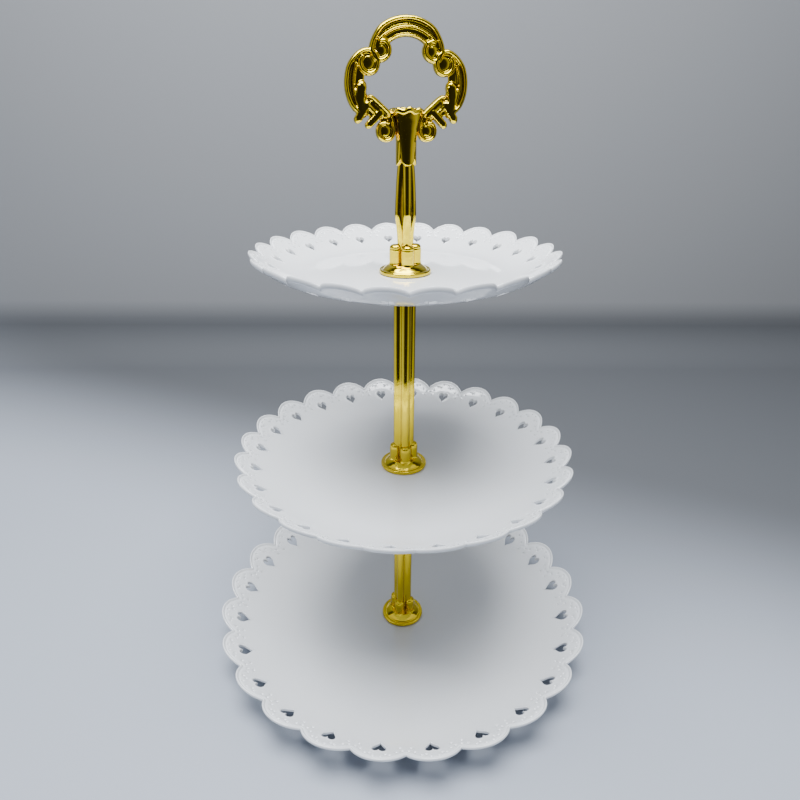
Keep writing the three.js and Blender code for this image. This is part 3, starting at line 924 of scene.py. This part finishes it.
def stage_sweep():
    """Pale table that curves up into the backdrop, with painted shade that darkens the back of the table
    and the foot of the wall, and its front part, which metal doesn't mirror.
    """
    material = Nodes("studio_sweep")
    material.shader_values(Roughness=0.8)
    grain = material.noise(1.5)
    table = material.between(grain, *TABLE_COLOURS)
    # The wall's painted shade: dark at its foot, lighter up to its pale height.
    wall = material.between(material.along("Z", 0.0, WALL_PAINTED_SHADE_TOP), *WALL_PAINTED_SHADE_COLOURS)
    mix = material.add("ShaderNodeMixRGB")
    # Painted shade: the table's colour turns to the wall's painted-shade colours towards the back, slanting
    # with X.
    painted_shade_at = material.along("Y", TABLE_PAINTED_SHADE["start"], TABLE_PAINTED_SHADE["end"], TABLE_PAINTED_SHADE["skew"])
    material.link(painted_shade_at, "Result", mix, "Fac")
    material.link(table, "Color", mix, "Color1")
    material.link(wall, "Color", mix, "Color2")
    material.link(mix, "Color", material.shader, "Base Color")
    start, radius = SWEEP["start"], SWEEP["radius"]
    bend = np.linspace(0, math.pi / 2, 16)
    curve = [(start + radius * math.sin(a), radius * (1 - math.cos(a))) for a in bend]
    profile = [(SWEEP["front"], 0.0), *curve, (start + radius, SWEEP["top"])]
    sheet("sweep", profile, material.material)
    front = sheet("table_front", [(SWEEP["back"], 0.0), (SWEEP["front"], 0.0)], material.material)
    front.visible_glossy = False


def sheet(name, profile, material):
    """A stage surface from a [y, z] profile, pulled along X."""
    vertices = [(side * SWEEP["half_width"], y, z) for side in (-1, 1) for y, z in profile]
    n = len(profile)
    faces = [(i, i + 1, n + i + 1, n + i) for i in range(n - 1)]
    mesh = bpy.data.meshes.new(name)
    mesh.from_pydata(vertices, [], faces)
    obj = bpy.data.objects.new(name, mesh)
    bpy.context.scene.collection.objects.link(obj)
    shade(obj, 60)
    obj.data.materials.append(material)
    return obj


def area_light(name, place, target, size, power, colour):
    """A soft rectangular light that faces its target."""
    data = bpy.data.lights.new(name, "AREA")
    data.shape = "RECTANGLE"
    data.size, data.size_y = size
    data.energy = power
    data.color = colour
    light = bpy.data.objects.new(name, data)
    light.location = place
    light.rotation_euler = (Vector(target) - Vector(place)).to_track_quat("-Z", "Y").to_euler()
    bpy.context.scene.collection.objects.link(light)


def room():
    """Bright ceiling, mid walls and a dark side behind the camera, for the metal to reflect."""
    world = bpy.data.worlds.new("studio")
    bpy.context.scene.world = world
    world.use_nodes = True
    tree = world.node_tree
    tree.nodes.clear()
    output = tree.nodes.new("ShaderNodeOutputWorld")
    background = tree.nodes.new("ShaderNodeBackground")
    tree.links.new(background.outputs[0], output.inputs["Surface"])
    place = tree.nodes.new("ShaderNodeTexCoord")
    split = tree.nodes.new("ShaderNodeSeparateXYZ")
    tree.links.new(place.outputs["Generated"], split.inputs[0])

    def ramped(axis, stops):
        """Grey level by how far a direction points along an axis, from -1 to 1."""
        node = tree.nodes.new("ShaderNodeValToRGB")
        move = tree.nodes.new("ShaderNodeMapRange")
        move.inputs["From Min"].default_value = -1
        tree.links.new(split.outputs[axis], move.inputs["Value"])
        tree.links.new(move.outputs["Result"], node.inputs["Fac"])
        elements = node.color_ramp.elements
        while len(elements) < len(stops):
            elements.new(0.5)
        for element, (at, grey) in zip(elements, stops):
            element.position = (at + 1) / 2
            element.color = (grey, grey, grey, 1)
        return node

    depth = ramped("Y", ROOM_DEPTH)
    height = ramped("Z", ROOM_CEILING)
    mix = tree.nodes.new("ShaderNodeMixRGB")
    tree.links.new(height.outputs["Color"], mix.inputs["Fac"])
    tree.links.new(depth.outputs["Color"], mix.inputs["Color1"])
    mix.inputs["Color2"].default_value = CEILING_COLOUR
    seen = tree.nodes.new("ShaderNodeMixRGB")
    rays = tree.nodes.new("ShaderNodeLightPath")
    tree.links.new(rays.outputs["Is Camera Ray"], seen.inputs["Fac"])
    tree.links.new(mix.outputs["Color"], seen.inputs["Color1"])
    seen.inputs["Color2"].default_value = BEYOND_COLOUR
    tree.links.new(seen.outputs["Color"], background.inputs["Color"])
    level = tree.nodes.new("ShaderNodeMapRange")
    level.inputs["To Min"].default_value = ROOM_LIGHT
    level.inputs["To Max"].default_value = ROOM_REFLECTED
    tree.links.new(rays.outputs["Is Glossy Ray"], level.inputs["Value"])
    tree.links.new(level.outputs["Result"], background.inputs["Strength"])


def add_camera():
    """The viewpoint, looking down at the stand from the front."""
    data = bpy.data.cameras.new("camera")
    data.sensor_width = CAMERA["sensor"]
    data.lens = CAMERA["lens"]
    data.dof.use_dof = False
    camera = bpy.data.objects.new("camera", data)
    tilt = Matrix.Rotation(math.radians(90 - CAMERA["down"]), 3, "X")
    turn = Matrix.Rotation(CAMERA["left"], 3, "Z") @ tilt @ Matrix.Rotation(CAMERA["roll"], 3, "Z")
    camera.matrix_world = Matrix.Translation(CAMERA["place"]) @ turn.to_4x4()
    bpy.context.scene.collection.objects.link(camera)
    bpy.context.scene.camera = camera


# ---- the stand ----

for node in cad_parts.values():
    slot = node.data.materials[0].name.split(".")[0] if node.data.materials else ""
    if slot in SLOT_MATERIALS:
        node.data.materials[0] = SLOT_MATERIALS[slot]

build_plate("bottom", "base")
build_plate("middle", "plate_middle")
build_plate("top", "plate_top")
build_column("lower_column", COLUMN_TURN["lower"])
build_column("middle_column", COLUMN_TURN["middle"])
build_handle()

stage_sweep()
room()
area_light("overhead", **OVERHEAD)
add_camera()
